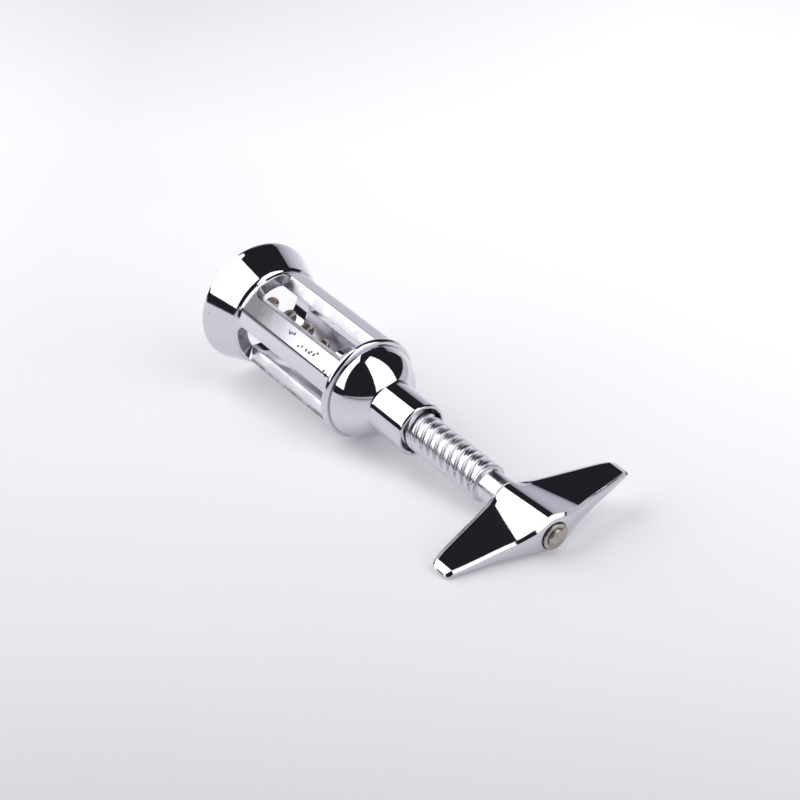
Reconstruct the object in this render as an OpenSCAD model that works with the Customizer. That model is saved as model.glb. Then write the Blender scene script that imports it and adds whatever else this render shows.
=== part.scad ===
// Bell-and-cage corkscrew with a T-handle on a threaded spindle.
// The tool lies on its dome rim and handle. Local x runs along its own axis,
// from the bell mouth (x = 0) to the riveted end of the handle.

/* [Bell] */
// Radius of the bell at its mouth
bell_r = 20; // [19:0.1:21]
// Length of the bell from mouth to shoulder
bell_len = 12; // [11:0.1:13]
// Radius of the bore that fits over a bottle lip
lip_r = 15.4; // [15:0.05:15.8]
// Depth of the bore that fits over a bottle lip
lip_depth = 9.5; // [8:0.1:10]

/* [Cage] */
// Radius of the cage over the edges of its bars
cage_r = 15.6; // [15.2:0.05:15.8]
// Radius of the cage over the ridge of each bar
ridge_r = 16; // [15.9:0.05:16.2]
// Inner radius of the cage
cage_bore_r = 11.7; // [11.2:0.1:12]
// Half the width of one bar
bar_half = 5.3; // [4.8:0.1:5.6]
// Where the windows start
win_x0 = 13.2; // [13:0.1:14]
// Where the windows end and the rim bead begins
win_x1 = 57.5; // [56:0.1:58]
// Corner radius of the windows at the bell end
win_round = 3; // [1:0.1:4]
// Outer radius of the rim bead
bead_r = 16.4; // [16.2:0.05:16.6]

/* [Dome and collar] */
// Outer radius of the dome
dome_r = 15.15; // [15:0.05:15.3]
// Wall thickness of the dome
dome_wall = 2.2; // [1.8:0.1:2.5]
// Outer radius of the collar
collar_r = 8.35; // [8:0.05:8.8]
// Where the collar ends
collar_x1 = 85.2; // [84:0.1:87]
// Outer radius of the threaded bush inside the collar
bush_r = 7.2; // [7:0.05:7.4]
// Bore radius of the bush over the thread crests
bush_bore_r = 6.02; // [6:0.01:6.04]

/* [Spindle] */
// Radius over the thread crests
thread_r = 5.95; // [5.93:0.01:5.97]
// Radius at the thread root
root_r = 5.05; // [4.9:0.05:5.3]
// Distance between neighbouring thread crests
ridge_pitch = 3.05; // [2.9:0.05:3.3]
// Where the thread ends
thread_x1 = 115.6; // [114:0.1:117]
// Radius of the plain neck under the handle
neck_r = 4.77; // [4.6:0.01:4.9]
// Bell-side end of the spindle
spindle_x0 = 46; // [44:0.1:48]
// Radius of the stop collar on the end of the spindle
stop_r = 7.2; // [6.8:0.1:8]
// Thickness of the stop collar
stop_t = 3.2; // [2.8:0.1:4]

/* [Worm] */
// Wire diameter of the worm
wire_d = 3.2; // [3:0.1:3.4]
// Radius of the coil's centre line
coil_r = 3.2; // [3:0.05:3.4]
// Pitch of the coil
coil_pitch = 9.15; // [8.5:0.05:9.5]
// Diameter of the rod that runs through the spindle and the handle
rod_d = 4.6; // [4.4:0.1:4.8]
// Where the point of the worm sits
tip_x = 1.2; // [0.5:0.1:3]

/* [Handle] */
// Where the handle meets the neck
hub_x0 = 123.1; // [122:0.1:124]
// Outer end face of the handle
hub_x1 = 143.5; // [142:0.1:145]
// Half the span of the handle
span = 32.5; // [31:0.1:35]
// Height of the crown over the hub, at the neck
crown_h0 = 5; // [4.9:0.05:5.2]
// Height of the crown over the hub, at the outer end
crown_h1 = 6.6; // [6.2:0.1:7]
// Depth of the hub under the axis, at the outer end
keel_h1 = 5.6; // [5.2:0.05:6]
// Radius of the washer under the rivet head
washer_r = 4.4; // [4.2:0.1:5]
// Thickness of the washer
washer_t = 0.9; // [0.7:0.1:1.2]

/* [Resting pose] */
// Tilt of the tool's axis, handle end down
tilt = 7.37; // [7.2:0.01:7.6]
// Roll of the handle, near wing down
roll = 9.2; // [8.5:0.1:10.5]
// Angle of the first cage bar from the upright
bar_roll = 60; // [50:1:70]

/* [Hidden] */
$fn = 64;
eps = 0.01;
gap = 0.03;
// The whole tool stands over the middle of its own footprint.
lie = [-71.11, 0, 23.81];

rod_r = rod_d / 2;
bead_x = win_x1 + 1.25;
cap_x = win_x1 + 2.5;
dome_x = cap_x - 2.1;
dome_in = dome_r - dome_wall;
ridge_n = floor((thread_x1 - spindle_x0 - stop_t - 0.4) / ridge_pitch);
wire_r = wire_d / 2;
washer_x1 = hub_x1 + washer_t;

// Local x along the tool, z up, then tilted and set down on the ground.
module placed() { translate(lie) rotate([0, tilt, 0]) children(); }
// Turns a shape about the tool's axis, positive towards the near side.
module about(a) { rotate([a, 0, 0]) children(); }
// A plain tube or rod along the axis.
module rod(r, x0, x1) { translate([x0, 0, 0]) rotate([0, 90, 0]) cylinder(r = r, h = x1 - x0); }
// Revolves [radius, x] points about the axis.
module turned(pts) { rotate([0, 90, 0]) rotate_extrude() polygon(pts); }

// ---- bell and cage ----
// Rounded rim, straight cone, then a small rounded shoulder down to the cage.
bell_pts = [[lip_r + 2.4, 0], [bell_r - 0.8, 0], [bell_r - 0.25, 0.25], [bell_r, 0.8], [bell_r, 1.5],
            [bell_r - 0.3, 2.5], [cage_r + 1.1, bell_len - 0.9], [cage_r + 0.95, bell_len - 0.4],
            [cage_r + 0.7, bell_len], [cage_r - 0.3, bell_len], [cage_r - 0.3, lip_depth + 1.5],
            [lip_r - 0.2, lip_depth + 1.5], [lip_r, lip_depth], [lip_r, 2]];
bar_edge = sqrt(cage_r * cage_r - bar_half * bar_half);

module bar_outline() {
    polygon([[0, -bar_half], [bar_edge, -bar_half], [ridge_r, 0], [bar_edge, bar_half], [0, bar_half]]);
}

// One quarter window, open towards the 45 degree direction.
module window() {
    intersection() {
        translate([0, bar_half, bar_half]) cube([80, 30, 30]);
        rotate([-45, 0, 0]) linear_extrude(40) {
            translate([win_x0 + win_round, -20]) square([win_x1 - win_x0 - win_round, 40]);
            translate([win_x0, -6.6 + win_round]) square([win_round + 1, 13.2 - 2 * win_round]);
            for (s = [-1, 1]) translate([win_x0 + win_round, s * (6.6 - win_round)]) circle(win_round);
        }
    }
}

module bell_cage() {
    color("#c9cbd2") placed() {
        difference() {
            union() {
                turned(bell_pts);
                rod(cage_r, bell_len - 1, cap_x);
                about(bar_roll) for (q = [0:3]) about(90 * q)
                    translate([bell_len - 0.5, 0, 0]) rotate([0, 90, 0])
                        mirror([1, 0, 0]) linear_extrude(win_x1 - bell_len + 1.5) bar_outline();
                rotate([0, 90, 0]) rotate_extrude() translate([bead_r - 1.25, bead_x]) circle(1.25, $fn = 32);
            }
            rod(cage_bore_r, lip_depth - 1, cap_x - 2.6);
            turned([[0, lip_depth - 2], [lip_r, lip_depth - 2], [lip_r, lip_depth], [cage_bore_r, lip_depth + 2.4],
                    [0, lip_depth + 2.4]]);
            rod(13.6, cap_x - 2.6, cap_x + 2);
            about(bar_roll) for (q = [0:3]) about(90 * q) window();
        }
    }
}

// ---- dome with its collar, pressed into the top of the cage ----
dome_a0 = asin((cap_x + 0.5 - dome_x) / dome_r);
dome_a1 = acos(collar_r / dome_r);
in_a0 = acos(12 / dome_in);
in_a1 = acos((collar_r + 0.6) / dome_in);
dome_pts = concat(
    [[12, cap_x - 2.4], [13.57, cap_x - 2.4], [13.57, cap_x + 0.02], [14.2, cap_x + 0.02]],
    [for (i = [0:20]) let (a = dome_a0 + (dome_a1 - dome_a0) * i / 20) [dome_r * cos(a), dome_x + dome_r * sin(a)]],
    [[collar_r, collar_x1 - 0.7], [collar_r - 0.2, collar_x1 - 0.25], [collar_r - 0.7, collar_x1], [7.5, collar_x1],
     [7.05, collar_x1 - 0.45], [7.05, collar_x1 - 3.2], [bush_r + 0.01, collar_x1 - 3.2], [bush_r + 0.01, 66.5],
     [collar_r + 0.6, 66.5]],
    [for (i = [12:-1:0]) let (a = in_a0 + (in_a1 - in_a0) * i / 12) [dome_in * cos(a), dome_x + dome_in * sin(a)]]);

module dome_cap() {
    color("#cdcfd6") placed() turned(dome_pts);
}

// ---- bush that carries the female thread ----
module thread_bush() {
    color("#b9a679") placed() {
        difference() {
            rod(bush_r, 66.6, collar_x1 - 3.3);
            rod(bush_bore_r, 60, collar_x1);
            turned([[0, 66.5], [bush_bore_r + 0.7, 66.5], [bush_bore_r, 67.3], [0, 67.3]]);
            turned([[0, collar_x1 - 4.1], [bush_bore_r, collar_x1 - 4.1], [bush_bore_r + 0.7, collar_x1 - 3.2], [0, collar_x1 - 3.2]]);
        }
    }
}

// ---- threaded spindle: end spigot, thread, neck and a flatted tang ----
function ridge(x) = [[root_r, x - 1.15], [thread_r, x - 0.4], [thread_r, x + 0.4], [root_r, x + 1.15]];
spindle_pts = concat([[0, spindle_x0], [4.7, spindle_x0], [4.95, spindle_x0 + 0.3], [4.95, spindle_x0 + stop_t + 0.1],
                      [root_r, spindle_x0 + stop_t + 0.15]],
                     [for (i = [ridge_n - 1:-1:0], p = ridge(thread_x1 - 1.6 - ridge_pitch * (i + 0.5))) p],
                     [[root_r, thread_x1 - 1.3], [thread_r - 0.1, thread_x1 - 0.9], [thread_r - 0.1, thread_x1 - 0.2],
                      [neck_r + 0.2, thread_x1], [neck_r, thread_x1 + 0.2], [neck_r, hub_x0 - 0.05], [0, hub_x0 - 0.05]]);

module spindle() {
    color("#b7bac4") placed() {
        difference() {
            union() {
                turned(spindle_pts);
                about(roll) intersection() {
                    rod(4, hub_x0 - 1, hub_x1 - 3);
                    translate([hub_x0 - 1, -3.1, -5]) cube([hub_x1 - hub_x0, 6.2, 10]);
                }
            }
            rod(rod_r + gap, 40, 150);
        }
    }
}

// ---- ring that stops the spindle being wound out of the collar ----
module stop_collar() {
    color("#d2d4da") placed() {
        turned([[4.98, spindle_x0], [stop_r - 0.5, spindle_x0], [stop_r, spindle_x0 + 0.5],
                [stop_r, spindle_x0 + stop_t - 0.3], [stop_r - 0.3, spindle_x0 + stop_t], [4.98, spindle_x0 + stop_t]]);
    }
}

// ---- worm: pointed coil that straightens into a rod with a peened head ----
coil_x1 = 30;
rod_x0 = 42;
seg = 15;
coil_n = floor((rod_x0 - tip_x) / coil_pitch * 360 / seg);
function ease(t) = t <= 0 ? 0 : t >= 1 ? 1 : t * t * (3 - 2 * t);
function coil_rad(x) = coil_r * (1 - ease((x - coil_x1) / (rod_x0 - coil_x1)));
function coil_ang(x) = -45.6 + 360 * (x - 7) / coil_pitch;
function wire_rad(x) = x < tip_x + 7 ? max(0.15, wire_r * sqrt((x - tip_x) / 7)) : wire_r + (rod_r - 0.05 - wire_r) * ease((x - coil_x1) / (rod_x0 - coil_x1));
function coil_pt(x) = [x, -coil_rad(x) * sin(coil_ang(x)), coil_rad(x) * cos(coil_ang(x))];
function unit(v) = v / norm(v);
worm_xs = [for (i = [0:coil_n]) tip_x + (rod_x0 + 1.5 - tip_x) * i / coil_n];
side = 12;
function ring_at(i) = let (x = worm_xs[i], c = coil_pt(x), t = unit(coil_pt(x + 0.05) - coil_pt(x - 0.05)),
                           u = unit(cross(t, [0, sin(coil_ang(x)), -cos(coil_ang(x))])), v = cross(t, u), r = wire_rad(x))
    [for (k = [0:side - 1]) c + r * (cos(360 * k / side) * u + sin(360 * k / side) * v)];

module coil() {
    n = len(worm_xs);
    pts = [for (i = [0:n - 1], p = ring_at(i)) p];
    faces = concat(
        [[for (k = [0:side - 1]) k]],
        [for (i = [0:n - 2], k = [0:side - 1]) let (a = i * side + k, b = i * side + (k + 1) % side) [a, a + side, b + side, b]],
        [[for (k = [side - 1:-1:0]) (n - 1) * side + k]]);
    polyhedron(pts, faces, convexity = 10);
}

module worm() {
    color("#8a7a68") placed() {
        union() {
            coil();
            rod(rod_r, rod_x0, washer_x1 + 0.1);
            turned([[0, washer_x1 + 0.02], [2.95, washer_x1 + 0.02], [2.95, washer_x1 + 0.35], [2.7, washer_x1 + 0.8],
                    [2.1, washer_x1 + 1.15], [1.1, washer_x1 + 1.35], [0, washer_x1 + 1.4]]);
        }
    }
}

// ---- handle: round hub and two flat tapering wings ----
// Outline of one wing as [x, distance from the axis].
wing_in = [[hub_x0, 0], [hub_x0 + 0.1, 5], [123.9, 7], [124.7, 10], [126.1, 16], [127.1, 20], [129.2, 28], [130.6, span - 1.3], [131.7, span - 0.3], [132.6, span]];
wing_out = [[136.6, span], [137.6, span - 0.5], [138, span - 1.5], [139.2, 25], [140.5, 17], [141.9, 10.5], [143, 7.5], [hub_x1, 5.2], [hub_x1, 0]];
wing_path = concat(wing_in, wing_out);

module wing_plan() {
    // Flat plan of both wings in the [x, y] plane.
    for (s = [-1, 1]) polygon([for (p = wing_path) [p[0], s * p[1]]]);
}

// Rounded ridge with even flanks that climbs from h0 at the neck to h1 at the outer end.
module crown(h0, h1) {
    translate([hub_x0 - 0.5, 0, 0]) rotate([0, -atan((h1 - h0) / (hub_x1 - hub_x0)), 0]) rotate([90, 0, 90])
        linear_extrude(hub_x1 - hub_x0 + 2)
            polygon([[-11, 0], [-11, h0 - 3.85], [-1.6, h0 - 0.28], [-0.7, h0 - 0.06], [0, h0], [0.7, h0 - 0.06],
                     [1.6, h0 - 0.28], [11, h0 - 3.85], [11, 0]]);
}

module t_handle() {
    color("#cbcdd4") placed() about(roll) {
        difference() {
            union() {
                intersection() {
                    translate([0, 0, -10]) linear_extrude(20) wing_plan();
                    union() {
                        // Thickness falls from the hub to the tips.
                        rotate([0, 90, 0]) translate([0, 0, 120]) linear_extrude(30)
                            polygon([[-1, -span - 1], [1, -span - 1], [1.8, -22], [3.2, -9.7], [3.6, -5], [3.6, 5], [3.2, 9.7],
                                     [1.8, 22], [1, span + 1], [-1, span + 1], [-1.8, 22], [-3.2, 9.7], [-3.6, 5], [-3.6, -5],
                                     [-3.2, -9.7], [-1.8, -22]]);
                        crown(crown_h0, crown_h1);
                        mirror([0, 0, 1]) crown(crown_h0, keel_h1);
                    }
                    // The crown is eased off at the outer face.
                    rotate([90, 0, 0]) translate([0, 0, -40]) linear_extrude(80)
                        polygon([[120, -9], [hub_x1 - 1.2, -9], [hub_x1 - 1.2, -keel_h1 - 0.02], [hub_x1, -keel_h1 + 1],
                                 [hub_x1, crown_h1 - 1], [hub_x1 - 1.1, crown_h1 - 0.1], [hub_x1 - 1.1, 9], [120, 9]]);
                }
                rod(5.05, hub_x0, hub_x0 + 4);
            }
            rod(rod_r + gap, 110, 150);
            intersection() {
                rod(4 + gap, hub_x0 - 1, hub_x1 - 2.9);
                translate([hub_x0 - 1, -3.1 - gap, -5]) cube([hub_x1 - hub_x0 - 1.9, 6.2 + 2 * gap, 10]);
            }
        }
    }
}

// ---- washer under the peened head ----
module top_washer() {
    color("#a79c8b") placed() {
        turned([[rod_r + 0.05, hub_x1 + 0.01], [washer_r, hub_x1 + 0.01], [washer_r, hub_x1 + washer_t - 0.25],
                [washer_r - 0.25, washer_x1], [rod_r + 0.05, washer_x1]]);
    }
}

bell_cage();
dome_cap();
thread_bush();
spindle();
stop_collar();
worm();
t_handle();
top_washer();
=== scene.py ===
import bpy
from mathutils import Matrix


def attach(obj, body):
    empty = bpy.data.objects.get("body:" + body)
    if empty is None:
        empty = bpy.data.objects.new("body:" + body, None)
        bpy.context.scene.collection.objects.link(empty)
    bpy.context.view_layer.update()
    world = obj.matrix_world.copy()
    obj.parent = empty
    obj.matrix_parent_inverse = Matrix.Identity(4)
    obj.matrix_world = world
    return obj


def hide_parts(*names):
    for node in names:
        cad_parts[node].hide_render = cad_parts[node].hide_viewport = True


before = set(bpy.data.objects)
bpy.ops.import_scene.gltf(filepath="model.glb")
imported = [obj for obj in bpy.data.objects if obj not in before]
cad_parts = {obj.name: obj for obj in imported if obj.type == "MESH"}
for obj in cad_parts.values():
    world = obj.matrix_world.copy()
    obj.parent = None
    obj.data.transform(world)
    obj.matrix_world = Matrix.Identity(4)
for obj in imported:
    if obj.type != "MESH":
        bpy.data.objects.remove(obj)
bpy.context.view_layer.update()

import math
import bpy
import numpy as np
from mathutils import Matrix, Vector

scene = bpy.context.scene
MM = 0.001
TAU = 2 * math.pi

# ------------------------------------------------------------------ the tool's own frame
TILT = math.radians(7.37)
ROLL = math.radians(9.2)
BAR_ROLL = math.radians(60)
LEAD = 9.15
A = np.array([math.cos(TILT), 0.0, -math.sin(TILT)])      # along the tool, bell to handle
Y = np.array([0.0, 1.0, 0.0])
N = np.array([math.sin(TILT), 0.0, math.cos(TILT)])       # upright, square to the tool
LIE = np.array([-71.11, 0.0, 23.81])


def place(p):
    """Local millimetres (x along the tool, y, z up) to the row frame in metres."""
    p = np.asarray(p, float).reshape(-1, 3)
    return (LIE + p[:, :1] * A + p[:, 1:2] * Y + p[:, 2:3] * N) * MM


def spin(p, a):
    """Turns local points about the axis by a, positive towards the near side."""
    p = np.asarray(p, float).reshape(-1, 3)
    c, s = math.cos(a), math.sin(a)
    return np.stack([p[:, 0], p[:, 1] * c - p[:, 2] * s, p[:, 1] * s + p[:, 2] * c], 1)


# blowholes on the near bar: x, y, z and radius in local millimetres
HOLES = [(35.1, -11.9, 10.3, 0.42), (36.9, -11.5, 10.8, 0.40), (36.0, -11.7, 10.5, 0.26), (40.9, -12.9, 9.0, 0.30), (42.3, -12.5, 9.5, 0.24),
         (44.5, -12.6, 9.5, 0.34), (46.0, -12.6, 9.4, 0.36), (46.6, -12.2, 9.9, 0.24), (48.0, -12.4, 9.7, 0.42), (49.0, -11.8, 10.5, 0.38),
         (54.9, -13.5, 8.2, 0.38), (56.3, -13.7, 7.7, 0.40)]

# ------------------------------------------------------------------ mesh helpers
class Build:
    def __init__(self):
        self.v, self.f, self.m = [], [], []
        self.n = 0

    def add(self, pts, faces, mat=0):
        pts = np.asarray(pts, float).reshape(-1, 3)
        self.v.append(pts)
        self.f += [tuple(int(i) + self.n for i in f) for f in faces]
        self.m += [mat] * len(faces)
        self.n += len(pts)

    def make(self, name, mats, body, nodes, sharp=34):
        me = bpy.data.meshes.new(name)
        me.from_pydata(place(np.concatenate(self.v)).tolist(), [], self.f)
        me.validate(clean_customdata=False)
        for m in mats:
            me.materials.append(m)
        me.polygons.foreach_set("material_index", self.m)
        me.polygons.foreach_set("use_smooth", [True] * len(me.polygons))
        me.update()
        ob = bpy.data.objects.new(name, me)
        scene.collection.objects.link(ob)
        fix_normals(ob)
        me.set_sharp_from_angle(angle=math.radians(sharp))
        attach(ob, body)
        if nodes:
            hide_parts(*nodes)
        return ob


def fix_normals(ob):
    import bmesh
    bm = bmesh.new()
    bm.from_mesh(ob.data)
    bmesh.ops.remove_doubles(bm, verts=bm.verts, dist=1e-7)
    bmesh.ops.recalc_face_normals(bm, faces=bm.faces)
    bm.to_mesh(ob.data)
    bm.free()


def grid_faces(nu, nv, close_u=False, close_v=False):
    out = []
    for i in range(nu if close_u else nu - 1):
        for j in range(nv if close_v else nv - 1):
            a = i * nv + j
            b = i * nv + (j + 1) % nv
            c = ((i + 1) % nu) * nv + (j + 1) % nv
            d = ((i + 1) % nu) * nv + j
            out.append((a, b, c, d))
    return out


def fillet(pts, radii, steps=5):
    """Rounds the corners of an open polyline of [r, x] points."""
    out = []
    n = len(pts)
    for i, p in enumerate(pts):
        r = radii[i] if i < len(radii) else 0
        if r <= 0 or i in (0, n - 1):
            out.append(tuple(p))
            continue
        a, b, c = (np.array(q, float) for q in (pts[i - 1], p, pts[i + 1]))
        u, w = a - b, c - b
        lu, lw = np.linalg.norm(u), np.linalg.norm(w)
        u, w = u / lu, w / lw
        cosang = float(np.clip(u @ w, -1, 1))
        half = math.acos(cosang) / 2
        if half > math.radians(88):
            out.append(tuple(p))
            continue
        t = min(r / math.tan(half), lu * 0.49, lw * 0.49)
        rr = t * math.tan(half)
        centre = b + (u + w) / np.linalg.norm(u + w) * rr / math.sin(half)
        p0, p1 = b + u * t, b + w * t
        a0 = math.atan2(*(p0 - centre)[::-1])
        a1 = math.atan2(*(p1 - centre)[::-1])
        da = (a1 - a0 + math.pi) % TAU - math.pi
        for k in range(steps + 1):
            q = a0 + da * k / steps
            out.append((centre[0] + rr * math.cos(q), centre[1] + rr * math.sin(q)))
    return out


def lathe(b, prof, seg=160, closed=False, mat=0, cap=False):
    """Revolves [r, x] points about the tool's axis."""
    prof = np.array(prof, float)
    ang = np.arange(seg) / seg * TAU
    pts = np.empty((len(prof), seg, 3))
    pts[..., 0] = prof[:, 1:2]
    pts[..., 1] = -prof[:, :1] * np.sin(ang)
    pts[..., 2] = prof[:, :1] * np.cos(ang)
    b.add(pts, grid_faces(len(prof), seg, close_u=closed, close_v=True), mat)


def node_tree(name):
    m = bpy.data.materials.new(name)
    m.use_nodes = True
    nt = m.node_tree
    bsdf = nt.nodes.get("Principled BSDF")
    return m, nt, bsdf


def link(nt, a, b):
    nt.links.new(a, b)


def add_node(nt, kind, **inputs):
    n = nt.nodes.new(kind)
    for k, v in inputs.items():
        n.inputs[k.replace("_", " ")].default_value = v
    return n


def ramp(nt, fac, stops):
    r = nt.nodes.new("ShaderNodeValToRGB")
    el = r.color_ramp.elements
    while len(el) < len(stops):
        el.new(0.5)
    for e, (p, c) in zip(el, stops):
        e.position = p
        e.color = (c, c, c, 1) if isinstance(c, (int, float)) else (*c, 1)
    link(nt, fac, r.inputs["Fac"])
    return r


def math_node(nt, op, a, b=None):
    n = nt.nodes.new("ShaderNodeMath")
    n.operation = op
    for i, v in enumerate((a, b)):
        if v is None:
            continue
        if isinstance(v, (int, float)):
            n.inputs[i].default_value = v
        else:
            link(nt, v, n.inputs[i])
    return n.outputs[0]


def chrome(name, tint=(0.665, 0.66, 0.71), rough=0.035, wave=0.012, pits=0.0, pit_scale=900.0, scratch=0.5, worn=0.0):
    """Bright plating on a casting: a faint long wave, hairline scratches, smudged gloss, and a few pits."""
    m, nt, bsdf = node_tree(name)
    co = nt.nodes.new("ShaderNodeTexCoord").outputs["Object"]
    bsdf.inputs["Metallic"].default_value = 1.0
    # colour: very slight cloudiness in the plating
    cloud = add_node(nt, "ShaderNodeTexNoise", Scale=90.0, Detail=4.0, Roughness=0.6)
    link(nt, co, cloud.inputs["Vector"])
    mix = nt.nodes.new("ShaderNodeMix")
    mix.data_type = "RGBA"
    link(nt, cloud.outputs["Fac"], mix.inputs[0])
    mix.inputs[6].default_value = (tint[0] * 0.96, tint[1] * 0.96, tint[2] * 0.98, 1)
    mix.inputs[7].default_value = (*tint, 1)
    col = mix.outputs[2]
    # gloss: handled smudges and fine scratches
    smudge = add_node(nt, "ShaderNodeTexNoise", Scale=160.0, Detail=6.0, Roughness=0.62, Distortion=0.4)
    link(nt, co, smudge.inputs["Vector"])
    sm = ramp(nt, smudge.outputs["Fac"], [(0.42, 0.0), (0.72, 1.0)])
    stretch = nt.nodes.new("ShaderNodeMapping")
    stretch.inputs["Rotation"].default_value = (0.5, 0.3, 0.9)
    stretch.inputs["Scale"].default_value = (260.0, 6200.0, 3000.0)
    link(nt, co, stretch.inputs["Vector"])
    scr = add_node(nt, "ShaderNodeTexNoise", Scale=1.0, Detail=2.0, Roughness=0.5)
    link(nt, stretch.outputs["Vector"], scr.inputs["Vector"])
    sc = ramp(nt, scr.outputs["Fac"], [(0.66, 0.0), (0.74, 1.0)])
    r1 = math_node(nt, "MULTIPLY", sm.outputs["Color"], rough * 1.1)
    r2 = math_node(nt, "MULTIPLY", sc.outputs["Color"], 0.05 * scratch)
    r3 = math_node(nt, "ADD", math_node(nt, "ADD", r1, r2), rough)
    if worn > 0:
        # plating rubbed dull on one flank of the near bar, most at the bell end
        def along(v):
            d = nt.nodes.new("ShaderNodeVectorMath")
            d.operation = "DOT_PRODUCT"
            link(nt, co, d.inputs[0])
            d.inputs[1].default_value = tuple(float(q) for q in v)
            return math_node(nt, "SUBTRACT", d.outputs["Value"], float(np.dot(LIE, v)) * MM)
        flank = -math.sin(math.radians(44)) * Y + math.cos(math.radians(44)) * N
        ax = along(A)
        up_ = along(flank)
        wob = math_node(nt, "MULTIPLY", math_node(nt, "SUBTRACT", smudge.outputs["Fac"], 0.5), 0.012)
        on_bar = ramp(nt, math_node(nt, "MULTIPLY", ax, 10.0), [(0.127, 0.0), (0.136, 1.0)])
        fade_ = ramp(nt, math_node(nt, "MULTIPLY", math_node(nt, "ADD", ax, wob), 10.0), [(0.20, 1.0), (0.30, 0.62), (0.42, 0.22), (0.55, 0.0)])
        side_ = ramp(nt, math_node(nt, "MULTIPLY", up_, 50.0), [(0.735, 0.0), (0.757, 1.0)])
        mask = math_node(nt, "MULTIPLY", math_node(nt, "MULTIPLY", on_bar.outputs["Color"], fade_.outputs["Color"]), side_.outputs["Color"])
        mask = math_node(nt, "MULTIPLY", mask, worn)
        r3 = math_node(nt, "ADD", r3, math_node(nt, "MULTIPLY", mask, 0.30))
        rub = nt.nodes.new("ShaderNodeMix")
        rub.data_type = "RGBA"
        link(nt, mask, rub.inputs[0])
        link(nt, col, rub.inputs[6])
        rub.inputs[7].default_value = (0.15, 0.145, 0.16, 1)
        col = rub.outputs[2]
    link(nt, r3, bsdf.inputs["Roughness"])
    # height: long casting wave plus fine peel
    peel = add_node(nt, "ShaderNodeTexNoise", Scale=260.0, Detail=2.0, Roughness=0.5)
    link(nt, co, peel.inputs["Vector"])
    fine = add_node(nt, "ShaderNodeTexNoise", Scale=1500.0, Detail=2.0, Roughness=0.5)
    link(nt, co, fine.inputs["Vector"])
    h = math_node(nt, "ADD", math_node(nt, "MULTIPLY", peel.outputs["Fac"], 1.0),
                  math_node(nt, "MULTIPLY", fine.outputs["Fac"], 0.10))
    if pits > 0:
        vor = add_node(nt, "ShaderNodeTexVoronoi", Scale=pit_scale, Randomness=1.0)
        link(nt, co, vor.inputs["Vector"])
        pm = ramp(nt, vor.outputs["Distance"], [(0.06, 1.0), (0.16, 0.0)])
        patch = add_node(nt, "ShaderNodeTexNoise", Scale=300.0, Detail=1.0)
        link(nt, co, patch.inputs["Vector"])
        pp = ramp(nt, patch.outputs["Fac"], [(0.60, 0.0), (0.66, 1.0)])
        pit = math_node(nt, "MULTIPLY", pm.outputs["Color"], pp.outputs["Color"])
        pit = math_node(nt, "MULTIPLY", pit, pits)
        if worn > 0:
            # blowholes in the casting, strung along the near bar
            wr = add_node(nt, "ShaderNodeTexNoise", Scale=2600.0, Detail=1.0)
            link(nt, co, wr.inputs["Vector"])
            off = nt.nodes.new("ShaderNodeVectorMath")
            off.operation = "MULTIPLY_ADD"
            link(nt, wr.outputs["Color"], off.inputs[0])
            off.inputs[1].default_value = (0.0005, 0.0005, 0.0005)
            link(nt, co, off.inputs[2])
            for hx_, hy_, hz_, hr_ in HOLES:
                dn = nt.nodes.new("ShaderNodeVectorMath")
                dn.operation = "DISTANCE"
                link(nt, off.outputs[0], dn.inputs[0])
                dn.inputs[1].default_value = tuple(float(q) + 0.00025 for q in place((hx_, hy_, hz_))[0])
                hole = ramp(nt, math_node(nt, "MULTIPLY", dn.outputs["Value"], 1000.0), [(hr_ * 0.6 + 0.2, 1.0), (hr_ + 0.24, 0.0)])
                pit = math_node(nt, "MAXIMUM", pit, hole.outputs["Color"])
        h = math_node(nt, "SUBTRACT", h, math_node(nt, "MULTIPLY", pit, 2.0))
        dark = nt.nodes.new("ShaderNodeMix")
        dark.data_type = "RGBA"
        link(nt, pit, dark.inputs[0])
        link(nt, col, dark.inputs[6])
        dark.inputs[7].default_value = (0.10, 0.09, 0.10, 1)
        col = dark.outputs[2]
    link(nt, col, bsdf.inputs["Base Color"])
    bump = nt.nodes.new("ShaderNodeBump")
    bump.inputs["Strength"].default_value = 1.0
    bump.inputs["Distance"].default_value = wave * MM
    link(nt, h, bump.inputs["Height"])
    link(nt, bump.outputs["Normal"], bsdf.inputs["Normal"])
    return m


def steel(name, dark, light, rough=0.22, lines=(9000.0, 300.0, 300.0), bump=0.004):
    """Drawn or turned steel: streaks along one direction, uneven tone and a soft gloss."""
    m, nt, bsdf = node_tree(name)
    co = nt.nodes.new("ShaderNodeTexCoord").outputs["Object"]
    bsdf.inputs["Metallic"].default_value = 1.0
    mp = nt.nodes.new("ShaderNodeMapping")
    mp.inputs["Scale"].default_value = lines
    link(nt, co, mp.inputs["Vector"])
    st = add_node(nt, "ShaderNodeTexNoise", Scale=1.0, Detail=4.0, Roughness=0.65)
    link(nt, mp.outputs["Vector"], st.inputs["Vector"])
    cl = add_node(nt, "ShaderNodeTexNoise", Scale=420.0, Detail=5.0, Roughness=0.6)
    link(nt, co, cl.inputs["Vector"])
    both = math_node(nt, "ADD", math_node(nt, "MULTIPLY", st.outputs["Fac"], 0.45), math_node(nt, "MULTIPLY", cl.outputs["Fac"], 0.55))
    rp = ramp(nt, both, [(0.34, dark), (0.62, light)])
    link(nt, rp.outputs["Color"], bsdf.inputs["Base Color"])
    rr = math_node(nt, "ADD", math_node(nt, "MULTIPLY", both, rough * 0.9), rough * 0.5)
    link(nt, rr, bsdf.inputs["Roughness"])
    bp = nt.nodes.new("ShaderNodeBump")
    bp.inputs["Distance"].default_value = bump * MM
    link(nt, both, bp.inputs["Height"])
    link(nt, bp.outputs["Normal"], bsdf.inputs["Normal"])
    return m


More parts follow.
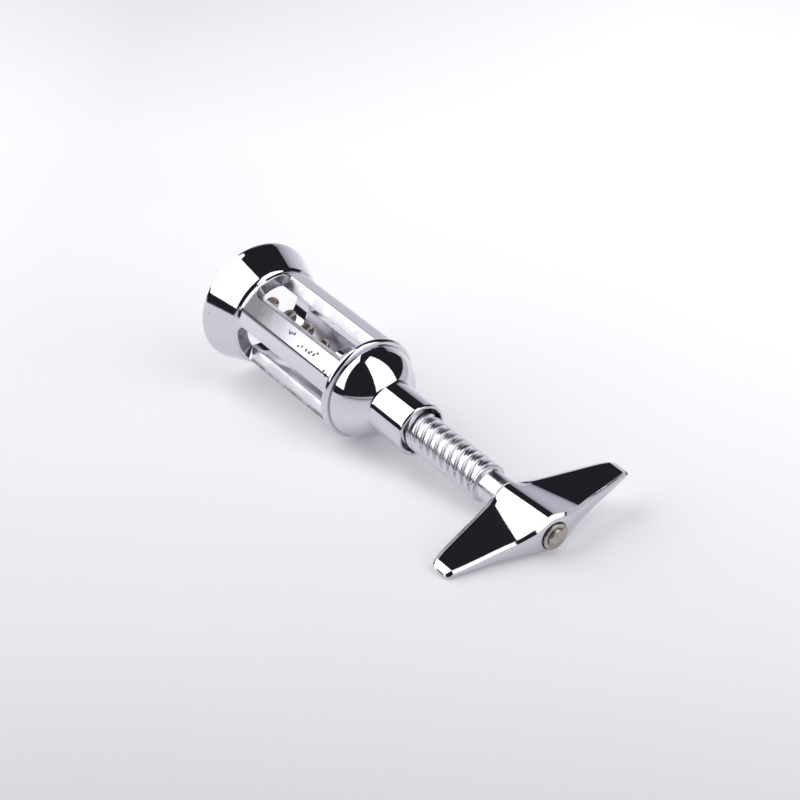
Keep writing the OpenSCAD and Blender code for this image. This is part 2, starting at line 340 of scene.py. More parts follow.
M_CAGE = chrome("plated_cage", rough=0.03, wave=0.010, pits=1.0, pit_scale=520.0, worn=1.0)
M_INNER = chrome("plated_inside", tint=(0.60, 0.595, 0.64), rough=0.20, wave=0.006, scratch=1.5)
M_DOME = chrome("plated_dome", rough=0.03, wave=0.010, pits=0.0)
M_HANDLE = chrome("plated_handle", rough=0.04, wave=0.010, pits=0.0)
M_RING = chrome("plated_ring", rough=0.05, wave=0.008)
M_THREAD = chrome("plated_thread", tint=(0.70, 0.695, 0.74), rough=0.20, wave=0.010, scratch=1.2)
M_WORM = steel("worm_wire", (0.20, 0.165, 0.13), (0.50, 0.43, 0.36), rough=0.26, lines=(260.0, 5200.0, 5200.0))
M_WASH = steel("nickelled_washer", (0.33, 0.305, 0.27), (0.58, 0.545, 0.49), rough=0.34, lines=(4200.0, 520.0, 520.0))
M_HEAD = steel("peened_head", (0.30, 0.275, 0.24), (0.52, 0.485, 0.43), rough=0.38, lines=(900.0, 900.0, 900.0), bump=0.03)
# near-black tone for the ring under the washer's edge: painted shadow, not a material of the tool
M_SHADE_RING = steel("painted_shade_ring", (0.02, 0.018, 0.016), (0.06, 0.055, 0.05), rough=0.6, lines=(1500.0, 1500.0, 1500.0))
M_BRASS = steel("turned_brass", (0.15, 0.13, 0.09), (0.30, 0.265, 0.20), rough=0.40, lines=(8000.0, 260.0, 260.0))

# ------------------------------------------------------------------ bell and cage
BELL_R, BELL_LEN, LIP_R, LIP_D = 20.0, 12.0, 15.4, 9.5
CAGE_R, RIDGE_R, BORE_R, HALF = 15.6, 16.0, 11.7, 5.3
WX0, WX1, WR = 13.2, 57.5, 3.0
BEAD_R, CAP_X = 16.4, 60.0


def shoulder_profile():
    """Outer line of the bell as [r, x]: rounded rim, straight cone, rounded shoulder, small cove."""
    tan = math.tan(math.radians(20))
    cone = lambda x: BELL_R - (x - 1.5) * tan
    pts = [(BELL_R - 1.3, 0.0), (BELL_R - 0.12, 0.0), (BELL_R, 1.2), (cone(2.3), 2.3), (cone(10.2), 10.2), (cone(11.45) + 0.02, 11.45), (RING_R, 12.05), (RING_R, 12.4)]
    return fillet(pts, [0, 0.75, 0.8, 4.0, 0, 1.6, 0.42, 0], 9)


def bead_r(x):
    d = np.clip(np.abs(x - WX1 - 1.25), 0, 1.25)
    return BEAD_R - 1.25 + np.sqrt(1.25 ** 2 - d ** 2)


def outer_r(x, delta):
    """Cage radius at x, delta radians away from the middle of a bar."""
    y = CAGE_R * np.sin(np.minimum(np.abs(delta), math.pi / 2))
    edge = math.sqrt(CAGE_R ** 2 - HALF ** 2)
    k = (RIDGE_R - edge) / HALF
    # distance to the flat facet along this direction, with the ridge line eased a little
    e = 0.028
    se = HALF / CAGE_R
    c, q = np.cos(delta), (np.sqrt(np.sin(delta) ** 2 + e * e) - e) * se / (math.sqrt(se * se + e * e) - e)
    roof = (RIDGE_R) / (c + k * q)
    flat = np.where(y < HALF, roof, CAGE_R)
    t = np.clip((x - 12.75) / 0.7, 0, 1)
    t = t * t * (3 - 2 * t)
    base = RING_R * (1 - t) + flat * t
    return np.where(x > WX1, np.maximum(base, bead_r(x)), base)


RING_R = 15.72
XA, XB = 12.4, WX1 + 0.35
N_END, N_ARC, N_SIDE, N_C, N_END2 = 9, 16, 48, 3, 12


def window_half():
    """Edge of one window, half of it, from the middle of the bell end round to the middle of the bead end.
    Returns outer [x, angle], inner [x, angle] and the border partner [x, angle] on the cage's own surface."""
    w_out, w_in = math.pi / 4 - math.asin(HALF / CAGE_R), math.pi / 4 - math.asin(HALF / BORE_R)
    uo = CAGE_R * math.sin(w_out)
    ui = BORE_R * math.sin(w_in)
    o, i_, b_ = [], [], []
    q = math.pi / 4
    for k in range(N_END):
        u = (uo - WR) * k / N_END
        o.append((WX0, math.asin(u / CAGE_R)))
        i_.append((WX0, math.asin(min(ui - 0.5, u * 0.86) / BORE_R)))
        b_.append((XA, q * 0.42 * k / N_END))
    for k in range(N_ARC):
        a = (k / N_ARC) * math.pi / 2
        o.append((WX0 + WR * (1 - math.cos(a)), math.asin((uo - WR + WR * math.sin(a)) / CAGE_R)))
        rr = 0.9
        i_.append((WX0 + rr * (1 - math.cos(a)), math.asin((ui - rr + rr * math.sin(a)) / BORE_R)))
        half = N_ARC * 0.625
        if k <= half:
            b_.append((XA, q * (0.42 + 0.58 * k / half)))
        else:
            b_.append((XA + (WX0 + WR - XA) * (k - half) / (N_ARC - half), q))
    ce = 0.3
    for k in range(N_SIDE):
        x = WX0 + WR + (WX1 - ce - WX0 - WR) * k / N_SIDE
        x_in = WX0 + 0.9 + (WX1 - ce - WX0 - 0.9) * (k / N_SIDE)
        o.append((x, w_out))
        i_.append((x_in, w_in))
        b_.append((x, q))
    for k in range(N_C + 1):
        a = k / N_C * math.pi / 2
        dx, du = ce * math.sin(a), ce * (1 - math.cos(a))
        o.append((WX1 - ce + dx, math.asin((uo - du) / CAGE_R)))
        i_.append((WX1 - ce + dx, math.asin((ui - du) / BORE_R)))
        b_.append((WX1 - ce + (XB - WX1 + ce) * min(1, k / (N_C - 1)), q if k < N_C else q * 0.93))
    for k in range(1, N_END2 + 1):
        t = k / N_END2
        o.append((WX1, math.asin((uo - ce) * (1 - t) / CAGE_R)))
        i_.append((WX1, math.asin((ui - ce) * (1 - t) / BORE_R)))
        b_.append((XB, q * 0.93 * (1 - t)))
    return np.array(o), np.array(i_), np.array(b_)


def build_cage():
    b = Build()
    o, i_, bo = window_half()
    n = len(o)
    q = math.pi / 4

    def on_outer(xs, an):
        r = outer_r(xs, q - np.abs(an))
        return np.stack([xs, r * np.sin(an), r * np.cos(an)], 1)

    def on_inner(xs, an):
        return np.stack([xs, BORE_R * np.sin(an), BORE_R * np.cos(an)], 1)

    # loops from the border of the cage's outside, over the window's edge and down its wall, to the border inside
    loops = []
    P0 = on_outer(o[:, 0], o[:, 1])
    Q0 = on_inner(i_[:, 0], i_[:, 1])
    span = np.linalg.norm(on_outer(bo[:, 0], bo[:, 1]) - P0, axis=1)
    f = 0.30
    t0 = np.minimum(0.45, f / span)
    for tau in (1.0, 0.975, 0.94, 0.88, 0.78, 0.62, 0.45, 0.3, 0.16, 0.06, 0.0):
        t = t0 + (1 - t0) * tau
        xy = o + (bo - o) * t[:, None]
        loops.append(on_outer(xy[:, 0], xy[:, 1]))
    S = loops[-1]
    wd = Q0 - P0
    wl = np.linalg.norm(wd, axis=1)[:, None]
    wd = wd / wl
    E = P0 + wd * f
    for t in (0.2, 0.4, 0.6, 0.8, 1.0):
        loops.append(S * (1 - t) ** 2 + 2 * P0 * t * (1 - t) + E * t * t)
    fi = 0.22
    bi = bo.copy()
    span_i = np.linalg.norm(on_inner(bi[:, 0], bi[:, 1]) - Q0, axis=1)
    ti = np.minimum(0.45, fi / span_i)
    xy = i_ + (bi - i_) * ti[:, None]
    Si = on_inner(xy[:, 0], xy[:, 1])
    Ei = Q0 - wd * fi
    for t in (0.33, 0.66):
        loops.append(E + (Ei - E) * t)
    for t in (0.0, 0.25, 0.5, 0.75, 1.0):
        loops.append(Ei * (1 - t) ** 2 + 2 * Q0 * t * (1 - t) + Si * t * t)
    for tau in (0.3, 0.65, 1.0):
        t = ti + (1 - ti) * tau
        xy = i_ + (bi - i_) * t[:, None]
        loops.append(on_inner(xy[:, 0], xy[:, 1]))
    loops = np.array(loops)
    for sgn in (1, -1):
        pts = loops.copy()
        pts[..., 1] *= sgn
        for k in range(4):
            b.add(spin(pts.reshape(-1, 3), BAR_ROLL + q + k * 2 * q), grid_faces(len(loops), n))
            b.m[-(len(loops) - 1) * (n - 1):] = [0 if i < 15 else 1 for i in range(len(loops) - 1) for _ in range(n - 1)]
    # matching angles for the turned parts at both ends
    def ring_angles(x_at):
        a = bo[np.abs(bo[:, 0] - x_at) < 1e-9][:, 1]
        a = np.unique(np.round(np.concatenate([a, -a]), 12))
        a = a[a > -q + 1e-9]
        return np.concatenate([a + BAR_ROLL + q + k * 2 * q for k in range(4)])

    def turned(prof, ang):
        prof = np.array(prof, float)
        pts = np.empty((len(prof), len(ang), 3))
        pts[..., 0] = prof[:, 1:2]
        pts[..., 1] = -prof[:, :1] * np.sin(ang)
        pts[..., 2] = prof[:, :1] * np.cos(ang)
        b.add(pts, grid_faces(len(prof), len(ang), close_v=True))

    out = shoulder_profile()
    inside = fillet([(BORE_R, XA), (BORE_R, LIP_D + 2.4), (LIP_R, LIP_D), (LIP_R, 1.6), (LIP_R + 1.3, 0.0), (BELL_R - 1.3, 0.0)],
                    [0, 0.3, 0.3, 0.6, 0.5, 0], 6)
    # the inside line and the outer line joined into one profile
    full = inside + out[1:]
    turned(full, ring_angles(XA))
    rim = [(float(bead_r(x)), float(x)) for x in WX1 + 1.25 - 1.25 * np.cos(np.linspace(math.acos((1.25 - (XB - WX1)) / 1.25), math.pi, 26))]
    ledge = fillet([rim[-1], (14.6, CAP_X - 0.0), (13.9, CAP_X - 0.02), (13.6, CAP_X - 0.15), (13.6, CAP_X - 2.3), (BORE_R, CAP_X - 2.3), (BORE_R, XB)],
                   [0, 0, 0.1, 0.05, 0, 0.1, 0], 3)
    rim[0] = (float(outer_r(np.array(XB), np.array(0.3))), XB)
    turned(rim + ledge[1:], ring_angles(XB))
    return b.make("bell_and_cage", [M_CAGE, M_INNER], "body", ["bell_cage"], sharp=40)


build_cage()

# ------------------------------------------------------------------ dome with its collar
DOME_X, DOME_R, COLLAR_R, COLLAR_X = 57.9, 15.15, 8.35, 85.2


def build_dome():
    b = Build()
    a0 = math.asin((CAP_X + 0.62 - DOME_X) / DOME_R)
    a1 = math.acos((COLLAR_R + 0.25) / DOME_R)
    arc = [(DOME_R * math.cos(a), DOME_X + DOME_R * math.sin(a)) for a in np.linspace(a0, a1, 56)]
    xj = DOME_X + DOME_R * math.sin(math.acos(COLLAR_R / DOME_R))
    start = fillet([(12.1, CAP_X - 2.2), (13.55, CAP_X - 2.2), (13.55, CAP_X + 0.03), (14.25, CAP_X + 0.03), (14.3, CAP_X + 0.25), arc[0], arc[3]],
                   [0, 0.2, 0.0, 0.1, 0.05, 0.12, 0], 4)[:-1]
    join = [(COLLAR_R + 0.10, xj + 0.06), (COLLAR_R + 0.02, xj + 0.22), (COLLAR_R, xj + 0.45)]
    end = fillet([(COLLAR_R, xj + 0.6), (COLLAR_R, COLLAR_X - 0.75), (COLLAR_R - 0.18, COLLAR_X - 0.22), (COLLAR_R - 0.62, COLLAR_X), (7.45, COLLAR_X),
                  (7.05, COLLAR_X - 0.45), (7.05, COLLAR_X - 3.2), (7.2, COLLAR_X - 3.25), (7.2, 66.5), (COLLAR_R + 0.6, 66.5)],
                 [0, 0.5, 0.4, 0.35, 0.2, 0.2, 0, 0, 0.1, 0], 5)
    ri = DOME_R - 2.2
    inner = [(ri * math.cos(a), DOME_X + ri * math.sin(a)) for a in np.linspace(math.acos((COLLAR_R + 0.6) / ri), math.acos(12.1 / ri), 20)]
    lathe(b, start + arc[1:] + join + end + inner, seg=256, closed=True)
    return b.make("dome_and_collar", [M_DOME], "body", ["dome_cap"], sharp=30)


build_dome()


def build_bush():
    b = Build()
    x0, x1 = 66.6, COLLAR_X - 3.3
    seg, nx = 120, 120
    ang = np.arange(seg) / seg * TAU
    xs = np.linspace(x0, x1, nx)
    X, P = np.meshgrid(xs, ang, indexing="ij")
    ph = ((X - LEAD * P / TAU) / (LEAD / 3)) % 1.0
    groove = np.clip(1 - np.abs(ph - 0.5) / 0.3, 0, 1)
    R = 6.04 + 0.55 * np.minimum(1, groove * 1.6)
    ends = np.minimum(X - x0, x1 - X)
    R = np.maximum(R, 6.04 + np.clip(0.75 - ends, 0, 0.75))
    inner = np.stack([X, -R * np.sin(P), R * np.cos(P)], -1)
    ring = lambda x, r: np.stack([np.full(seg, x), -r * np.sin(ang), r * np.cos(ang)], -1)
    rows = np.concatenate([inner, [ring(x1, 6.95)], [ring(x1 - 0.22, 7.18)], [ring(x0 + 0.22, 7.18)], [ring(x0, 6.95)]])
    b.add(rows, grid_faces(nx + 4, seg, close_u=True, close_v=True))
    return b.make("female_thread_bush", [M_BRASS], "body", ["thread_bush"])


build_bush()

# ------------------------------------------------------------------ spindle
ROOT_R, THREAD_R, NECK_R, HUB_X0, HUB_X1 = 5.02, 5.95, 4.77, 123.1, 143.5
SP_X0, TH_X0, TH_X1 = 46.0, 49.4, 115.6


def build_spindle():
    b = Build()
    seg = 144
    pitch = LEAD / 3
    xs = np.concatenate([np.linspace(TH_X0, TH_X1 - 1.0, 420)])
    ang = np.arange(seg) / seg * TAU
    X, P = np.meshgrid(xs, ang, indexing="ij")
    # right-handed: the ridge angle grows with x
    ph = ((X - TH_X1) / pitch - 3 * P / TAU + 0.30) % 1.0
    d = np.abs(ph - 0.5) * 2                       # 0 on the crest line, 1 in the middle of the root
    h = np.clip((0.80 - d) / 0.50, 0, 1)
    h = h * h * (3 - 2 * h)
    R = ROOT_R + (THREAD_R - ROOT_R) * h
    # the ridges run out against the neck's shoulder and die away at the inner end
    fade = np.clip((X - TH_X0) / 1.5, 0, 1)
    R = ROOT_R + (R - ROOT_R) * fade
    rows = np.stack([X, -R * np.sin(P), R * np.cos(P)], -1)
    ring = lambda x, r: np.stack([np.full(seg, x), -r * np.sin(ang), r * np.cos(ang)], -1)
    pre = fillet([(2.33, SP_X0), (4.7, SP_X0), (4.94, SP_X0 + 0.3), (4.94, TH_X0 - 0.1), (ROOT_R, TH_X0 - 0.02)], [0, 0.15, 0.1, 0, 0], 3)
    post = fillet([(THREAD_R - 0.35, TH_X1 - 0.95), (THREAD_R - 0.03, TH_X1 - 0.8), (THREAD_R - 0.03, TH_X1 - 0.15), (NECK_R + 0.25, TH_X1 + 0.05),
                   (NECK_R, TH_X1 + 0.25), (NECK_R, HUB_X0 - 0.25), (NECK_R - 0.2, HUB_X0 - 0.06), (2.33, HUB_X0 - 0.05)],
                  [0, 0.15, 0.2, 0.12, 0.2, 0.0, 0, 0], 4)
    allrows = np.concatenate([np.array([ring(x, r) for r, x in pre]), rows, np.array([ring(x, r) for r, x in post])])
    n = len(allrows)
    b.add(allrows, grid_faces(n, seg, close_u=True, close_v=True))
    return b.make("threaded_spindle", [M_THREAD], "screw", ["spindle"], sharp=40)


build_spindle()


def build_stop():
    b = Build()
    prof = fillet([(4.97, 47.5), (4.97, 46.0), (7.2, 46.0), (7.2, 49.2), (4.97, 49.2), (4.97, 47.5)], [0, 0.2, 0.45, 0.35, 0.2, 0], 6)
    lathe(b, prof[:-1], seg=128, closed=True)
    return b.make("spindle_stop_collar", [M_RING], "screw", ["stop_collar"])


build_stop()

# ------------------------------------------------------------------ worm with its rod and peened head
TIP_X, COIL_X1, ROD_X0, COIL_R, WIRE_R, ROD_R = 1.2, 30.0, 42.0, 3.2, 1.6, 2.3


def ease(t):
    t = np.clip(t, 0, 1)
    return t * t * (3 - 2 * t)


def build_worm():
    b = Build()
    xs = np.linspace(TIP_X, ROD_X0 + 1.5, 520)
    rad = COIL_R * (1 - ease((xs - COIL_X1) / (ROD_X0 - COIL_X1)))
    ang = np.radians(-45.6 + 360 * (xs - 7) / LEAD)
    c = np.stack([xs, -rad * np.sin(ang), rad * np.cos(ang)], 1)
    t = np.gradient(c, axis=0)
    t /= np.linalg.norm(t, axis=1)[:, None]
    ref = np.stack([0 * xs, np.sin(ang), -np.cos(ang)], 1)
    u = np.cross(t, ref)
    u /= np.linalg.norm(u, axis=1)[:, None]
    w = np.cross(t, u)
    wr = np.where(xs < TIP_X + 7, np.maximum(0.12, WIRE_R * np.sqrt(np.clip((xs - TIP_X) / 7, 0, 1))),
                  WIRE_R + (ROD_R - 0.05 - WIRE_R) * ease((xs - COIL_X1) / (ROD_X0 - COIL_X1)))
    side = 28
    k = np.arange(side) / side * TAU
    pts = c[:, None] + wr[:, None, None] * (np.cos(k)[None, :, None] * u[:, None] + np.sin(k)[None, :, None] * w[:, None])
    b.add(pts, grid_faces(len(xs), side, close_v=True))
    tipc = c[0] - t[0] * 0.12
    n0 = b.n
    b.add([tipc], [])
    b.f += [(n0, j, (j + 1) % side) for j in range(side)]
    b.m += [0] * side
    # the rod through the spindle and the handle
    lathe(b, [(0.02, ROD_X0 + 0.3), (ROD_R, ROD_X0 + 0.3), (ROD_R, HUB_X1 + 0.95), (0.02, HUB_X1 + 0.95)], seg=48)
    # head, hammered round over the washer
    hx = HUB_X1 + 0.9
    ang2 = np.arange(96) / 96 * TAU
    prof = fillet([(2.75, hx + 0.02), (2.95, hx + 0.10), (2.92, hx + 0.42), (2.62, hx + 0.86), (2.05, hx + 1.16), (1.2, hx + 1.33), (0.5, hx + 1.38), (0.02, hx + 1.39)],
                  [0, 0.1, 0.5, 1.0, 1.2, 1.2, 0.5, 0], 4)
    P = np.array(prof)
    dent = 1 + 0.012 * np.sin(3 * ang2 + 0.7) + 0.008 * np.sin(7 * ang2)
    pts = np.empty((len(P), 96, 3))
    pts[..., 0] = P[:, 1:2] - 0.03 * np.sin(2 * ang2 + 1.1)[None, :] * (P[:, :1] / 3)
    pts[..., 1] = -P[:, :1] * np.sin(ang2) * dent
    pts[..., 2] = P[:, :1] * np.cos(ang2) * dent
    b.add(pts, grid_faces(len(P), 96, close_v=True), 1)
    return b.make("worm_and_rod", [M_WORM, M_HEAD], "screw", ["worm"], sharp=50)


build_worm()


def build_washer():
    b = Build()
    x0, x1 = HUB_X1 + 0.01, HUB_X1 + 0.9
    prof = fillet([(2.36, x0 + 0.3), (2.36, x0), (4.1, x0), (4.1, x1), (2.36, x1), (2.36, x0 + 0.3)], [0, 0.05, 0.1, 0.28, 0.1, 0], 5)
    lathe(b, prof[:-1], seg=128, closed=True)
    # a near-black ring in the corner under the washer's edge: painted shadow, standing in for the contact shadow there
    painted_shade_ring = fillet([(4.12, x0 + 0.1), (4.12, x0), (4.4, x0), (4.36, x0 + 0.12), (4.12, x0 + 0.2), (4.12, x0 + 0.1)], [0, 0.02, 0.02, 0.05, 0.02, 0], 3)
    lathe(b, painted_shade_ring[:-1], seg=128, closed=True, mat=1)
    return b.make("rivet_washer", [M_WASH, M_SHADE_RING], "carrier", ["top_washer"])


build_washer()

# ------------------------------------------------------------------ T-handle
SPAN = 32.5
CROWN0, CROWN1, KEEL1 = 5.0, 6.6, 5.6
SLOPE = 0.38


def curve(points):
    """Smooth monotone curve through (l, x) points."""
    p = np.array(points, float)
    l, x = p[:, 0], p[:, 1]
    h = np.diff(l)
    dl = np.diff(x) / h
    m = np.zeros(len(l))
    m[0], m[-1] = dl[0], dl[-1]
    for i in range(1, len(l) - 1):
        m[i] = 0 if dl[i - 1] * dl[i] <= 0 else (h[i - 1] + h[i]) * 3 / ((2 * h[i] + h[i - 1]) / dl[i - 1] + (h[i] + 2 * h[i - 1]) / dl[i])

    def f(q):
        q = np.clip(q, l[0], l[-1])
        i = np.clip(np.searchsorted(l, q) - 1, 0, len(h) - 1)
        t = (q - l[i]) / h[i]
        return ((1 + 2 * t) * (1 - t) ** 2 * x[i] + t * (1 - t) ** 2 * h[i] * m[i] + t * t * (3 - 2 * t) * x[i + 1] + t * t * (t - 1) * h[i] * m[i + 1])
    return f


edge_in = curve([(0, HUB_X0), (4.6, HUB_X0 + 0.08), (5.6, 123.45), (7.0, 124.0), (10.0, 124.75), (13.0, 125.45), (16, 126.15), (20, 127.1), (24, 128.1), (28, 129.2), (31, 130.45), (SPAN, 131.2)])
edge_out = curve([(0, HUB_X1), (4.6, HUB_X1 - 0.02), (6.2, 143.3), (8.0, 142.75), (10.5, 142.0), (13.5, 141.2), (17, 140.45), (20, 139.95), (24, 139.3), (28, 138.6), (31, 137.95), (SPAN, 137.5)])
wing_z = curve([(0, 4.2), (5.5, 3.55), (9.7, 3.05), (16, 2.4), (22, 1.85), (28, 1.4), (SPAN, 1.1)])


def soft_max(a, b, k):
    d = a - b
    return 0.5 * (a + b + np.sqrt(d * d + k * k))


def skin(x, l, up):
    """Height of the handle's skin over its middle plane, on the upper (up = 1) or lower side."""
    t = np.clip((x - HUB_X0) / (HUB_X1 - HUB_X0), 0, 1)
    top = CROWN0 + ((CROWN1 if up > 0 else KEEL1) - CROWN0) * t
    rho = 1.5
    tent = top - SLOPE * (np.sqrt(l * l + rho * rho) - rho)
    # near the neck the crown narrows to the round of the neck itself
    round_ = np.sqrt(np.maximum(0.0, (top + 0.05) ** 2 - l * l))
    w = np.clip((x - HUB_X0) / 3.2, 0, 1)
    w = w * w * (3 - 2 * w)
    crown_ = tent * w + np.minimum(tent, round_) * (1 - w)
    return soft_max(crown_, wing_z(np.abs(l)) + 0 * x, 0.42)


def build_handle():
    b = Build()
    corner = 1.3
    BW, BD = 0.85, 0.85
    l_end = SPAN - 1.9                              # the end bevel starts here
    rows = list(np.linspace(0, 11.0, 46)) + list(np.linspace(11.6, l_end - 0.3, 30))
    tips = [l_end, l_end + 0.08, l_end + 0.4, l_end + 0.8, SPAN - 0.75, SPAN - 0.5, SPAN - 0.28, SPAN - 0.12, SPAN - 0.03, SPAN]
    cols = 34
    fine = 0.16

    def row_points(l, up):
        x0, x1 = float(edge_in(l)), float(edge_out(l))
        cut0 = cut1 = 0.0
        if l > SPAN - corner:
            q = (l - (SPAN - corner)) / corner
            cut0 = corner * (1 - math.sqrt(max(0.0, 1 - q * q)))
        if l > SPAN - 0.8:
            q = (l - (SPAN - 0.8)) / 0.8
            cut1 = 0.8 * (1 - math.sqrt(max(0.0, 1 - q * q)))
        x0, x1 = x0 + cut0, x1 - cut1
        bi = 0.35 + 1.05 * min(1.0, l / 8.0)
        di = 0.35 + 0.12 * min(1.0, l / 8.0)
        bo_, do_ = BW, BD
        if l < 9.0:                                 # the bevel grows into the hub's eased end
            g = 1 - l / 9.0
            bo_, do_ = BW + 0.45 * g, BD + 0.15 * g
        mids = np.linspace(x0 + bi + fine, x1 - bo_ - fine, cols)
        xs = np.concatenate([[x0, x0 + 0.10, x0 + bi - fine * 0.5, x0 + bi], mids, [x1 - bo_, x1 - bo_ + fine * 0.5, x1 - 0.10, x1]])
        drop = 0.0
        if l > l_end:                               # the end of the wing slopes off
            drop = (l - l_end) * 0.42
            if l > SPAN - 0.3:
                drop += (l - (SPAN - 0.3)) * 1.1
        z = skin(np.clip(xs, x0 + bi, x1 - bo_), np.full_like(xs, l), up) - drop
        zi, zo = float(z[3]), float(z[-4])
        low_i, low_o = max(0.12, zi - di), max(0.12, zo - do_)
        z[2] = zi - (zi - low_i) * 0.05
        z[1] = low_i + (zi - low_i) * 0.04
        z[0] = low_i - 0.14 if low_i > 0.3 else low_i * 0.6
        z[-3] = zo - (zo - low_o) * 0.16
        z[-2] = low_o + (zo - low_o) * 0.10
        z[-1] = low_o - 0.14 if low_o > 0.3 else low_o * 0.6
        return xs, z

    lines = rows + tips
    for sgn in (1, -1):
        for up in (1, -1):
            P = []
            for l in lines:
                xs, z = row_points(l, up)
                P.append([(xs[0] - 0.04, sgn * l, 0.0)] + [(x, sgn * l, up * q) for x, q in zip(xs, z)] + [(xs[-1] + 0.04, sgn * l, 0.0)])
            P = np.array(P)
            b.add(spin(P.reshape(-1, 3), ROLL), grid_faces(P.shape[0], P.shape[1]))
            last = P[-1]
            wall = np.stack([last, last * np.array([1, 1, 0])], 0)
            b.add(spin(wall.reshape(-1, 3), ROLL), grid_faces(2, P.shape[1]))
    return b.make("winged_handle", [M_HANDLE], "screw", ["t_handle"], sharp=50)


build_handle()

# ------------------------------------------------------------------ camera
cam_data = bpy.data.cameras.new("cam")
cam_data.lens = 93.39
cam_data.sensor_width = 36
cam_data.clip_start = 0.01
cam = bpy.data.objects.new("cam", cam_data)
right = Vector((0.61201, 0.79085, 0.0)).normalized()
back = Vector((0.70265, -0.54376, 0.45892)).normalized()
up = back.cross(right).normalized()
m = Matrix((right, up, back)).transposed().to_4x4()
m.translation = Vector((0.42581, -0.32708, 0.29484))
cam.matrix_world = m
scene.collection.objects.link(cam)
scene.camera = cam

# ------------------------------------------------------------------ table, sweep and lights
CAM_AZ = math.radians(52.26)


def direction(rel, el):
    """Unit vector for an azimuth relative to the camera (positive to the right) and an elevation, in degrees."""
    a = CAM_AZ + math.radians(rel)
    e = math.radians(el)
    return Vector((math.sin(a) * math.cos(e), -math.cos(a) * math.cos(e), math.sin(e)))


def emitter(name, corners, strength, colour=(1, 1, 1)):
    """A soft panel given by its four corners, each (azimuth, elevation, distance)."""
    pts = [direction(a, e) * d for a, e, d in corners]
    n = 8
    verts, faces = [], []
    for i in range(n + 1):
        for j in range(n + 1):
            s, t = i / n, j / n
            p = pts[0] * (1 - s) * (1 - t) + pts[1] * s * (1 - t) + pts[2] * s * t + pts[3] * (1 - s) * t
            verts.append(p)
    for i in range(n):
        for j in range(n):
            q = i * (n + 1) + j
            faces.append((q, q + 1, q + n + 2, q + n + 1))
    me = bpy.data.meshes.new(name)
    me.from_pydata(verts, [], faces)
    mat = bpy.data.materials.new(name)
    mat.use_nodes = True
    nt = mat.node_tree
    nt.nodes.clear()
    em = nt.nodes.new("ShaderNodeEmission")
    em.inputs["Color"].default_value = (*colour, 1)
    em.inputs["Strength"].default_value = strength
    out = nt.nodes.new("ShaderNodeOutputMaterial")
    nt.links.new(em.outputs[0], out.inputs[0])
    me.materials.append(mat)
    ob = bpy.data.objects.new(name, me)
    scene.collection.objects.link(ob)
    return ob


emitter("softbox_left", [(-146, 6, 0.95), (-50, 12.5, 0.80), (-70, 79, 0.66), (-150, 74, 0.80)], 1.95)
emitter("softbox_right", [(27, 10, 0.85), (84, 16, 0.85), (138, 77, 0.85), (-5, 83, 0.70)], 1.65)


def backdrop():
    """A wall behind the table, brightest at its foot."""
    verts, faces = [], []
    azs = np.linspace(143, 218, 26)
    els = np.linspace(0, 34, 14)
    for a in azs:
        for e in els:
            d = direction(float(a), 0) * 1.5
            verts.append((d.x, d.y, 1.5 * math.tan(math.radians(float(e)))))
    for i in range(len(azs) - 1):
        for j in range(len(els) - 1):
            q = i * len(els) + j
            faces.append((q, q + 1, q + len(els) + 1, q + len(els)))
    me = bpy.data.meshes.new("backdrop")
    me.from_pydata(verts, [], faces)
    mat = bpy.data.materials.new("backdrop")
    mat.use_nodes = True
    nt = mat.node_tree
    nt.nodes.clear()
    co = nt.nodes.new("ShaderNodeTexCoord").outputs["Object"]
    sep = nt.nodes.new("ShaderNodeSeparateXYZ")
    nt.links.new(co, sep.inputs[0])
    rp = ramp(nt, sep.outputs["Z"], [(0.0, (0.90, 0.89, 0.93)), (0.35, (0.78, 0.77, 0.82)), (0.72, (0.55, 0.54, 0.60)), (1.0, (0.30, 0.29, 0.34))])
    em = nt.nodes.new("ShaderNodeEmission")
    nt.links.new(rp.outputs["Color"], em.inputs["Color"])
    em.inputs["Strength"].default_value = 1.0
    out = nt.nodes.new("ShaderNodeOutputMaterial")
    nt.links.new(em.outputs[0], out.inputs[0])
    me.materials.append(mat)
    ob = bpy.data.objects.new("backdrop", me)
    scene.collection.objects.link(ob)


backdrop()
# light strip at the foot of the wall on the right, seen only in reflections
emitter("sweep_right", [(25, 0.2, 1.6), (150, 0.2, 1.6), (150, 9, 1.6), (25, 5, 1.6)], 0.72, (0.98, 0.97, 1.0))
emitter("sweep_front", [(-46, 0.2, 1.6), (26, 0.2, 1.6), (26, 5, 1.6), (-46, 1.5, 1.6)], 0.55, (0.98, 0.97, 1.0))
# dark card lying beyond the bell on the left, outside the picture
emitter("dark_card", [(-70, -0.1, 0.34), (-46, -0.1, 0.34), (-46, -0.02, 1.5), (-70, -0.02, 1.5)], 0.03)


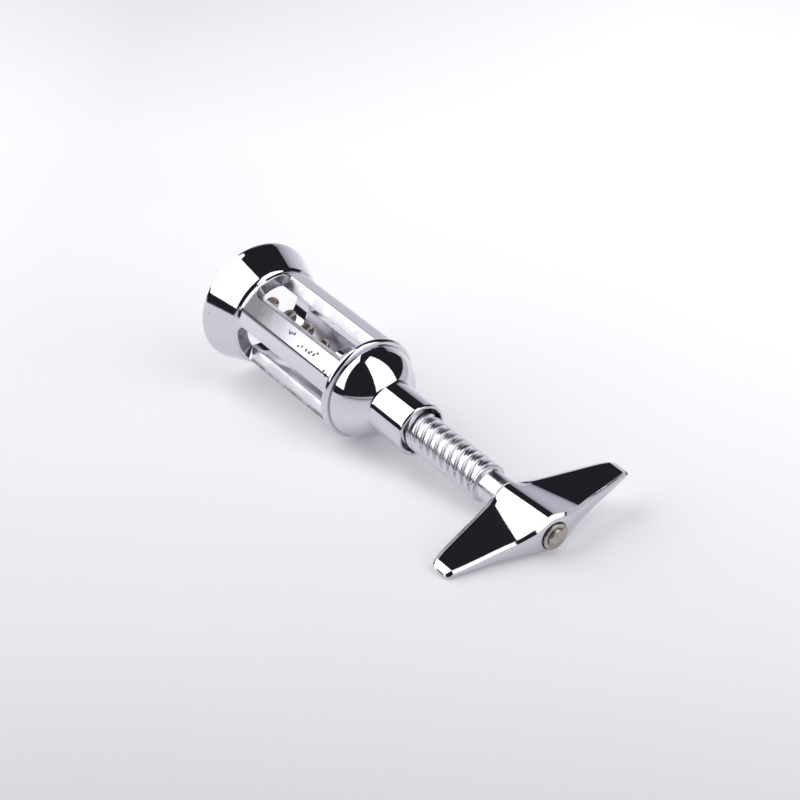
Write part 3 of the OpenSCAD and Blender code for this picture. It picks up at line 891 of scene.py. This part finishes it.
# floor and sweep behind, one surface
def build_floor():
    n = 40
    verts, faces = [], []
    for i in range(n + 1):
        for j in range(n + 1):
            verts.append((-1.6 + 3.2 * i / n, -1.6 + 3.2 * j / n, 0.0))
    for i in range(n):
        for j in range(n):
            q = i * (n + 1) + j
            faces.append((q, q + n + 1, q + n + 2, q + 1))
    me = bpy.data.meshes.new("floor")
    me.from_pydata(verts, [], faces)
    mat, nt, bsdf = node_tree("table_white")
    co = nt.nodes.new("ShaderNodeTexCoord").outputs["Object"]
    noise = add_node(nt, "ShaderNodeTexNoise", Scale=6.0, Detail=2.0)
    link(nt, co, noise.inputs["Vector"])
    rp = ramp(nt, noise.outputs["Fac"], [(0.3, (0.86, 0.855, 0.885)), (0.7, (0.88, 0.875, 0.905))])
    bsdf.inputs["Roughness"].default_value = 0.7
    bsdf.inputs["Specular IOR Level"].default_value = 0.1
    # painted light: the floor emits a little everywhere, and more towards the back and the right, standing in for the
    # light it picks up from the wall
    sep = nt.nodes.new("ShaderNodeSeparateXYZ")
    link(nt, co, sep.inputs[0])
    def across(cx, cy, low, high):
        v = math_node(nt, "ADD", math_node(nt, "MULTIPLY", sep.outputs["X"], cx), math_node(nt, "MULTIPLY", sep.outputs["Y"], cy))
        return math_node(nt, "MINIMUM", math_node(nt, "MAXIMUM", v, low), high)
    gu = across(0.612, 0.791, -0.12, 0.16)
    gv = across(-0.791, 0.612, -0.26, 0.26)
    # painted shade: its colour darkens a little towards the camera, standing in for the lights falling off there
    near = ramp(nt, math_node(nt, "ADD", gv, 0.5), [(0.24, 0.88), (0.40, 1.0)])
    tone = nt.nodes.new("ShaderNodeMix")
    tone.data_type = "RGBA"
    tone.blend_type = "MULTIPLY"
    tone.inputs[0].default_value = 1.0
    link(nt, rp.outputs["Color"], tone.inputs[6])
    link(nt, near.outputs["Color"], tone.inputs[7])
    link(nt, tone.outputs[2], bsdf.inputs["Base Color"])
    both = math_node(nt, "MULTIPLY", math_node(nt, "MULTIPLY", gu, gv), 2.8)
    glow = math_node(nt, "ADD", math_node(nt, "ADD", math_node(nt, "MULTIPLY", gu, 0.7), math_node(nt, "MULTIPLY", gv, 0.75)), both)
    glow = math_node(nt, "ADD", glow, 0.175)
    glow = math_node(nt, "MINIMUM", math_node(nt, "MAXIMUM", glow, 0.0), 0.55)
    bsdf.inputs["Emission Color"].default_value = (0.97, 0.97, 1.0, 1)
    link(nt, glow, bsdf.inputs["Emission Strength"])
    me.materials.append(mat)
    ob = bpy.data.objects.new("floor", me)
    scene.collection.objects.link(ob)


build_floor()

world = bpy.data.worlds.new("studio")
world.use_nodes = True
bg = world.node_tree.nodes.get("Background")
bg.inputs["Color"].default_value = (0.9, 0.8, 1.0, 1)
bg.inputs["Strength"].default_value = 0.025
scene.world = world
scene.view_settings.view_transform = "Standard"
scene.view_settings.exposure = 0.0
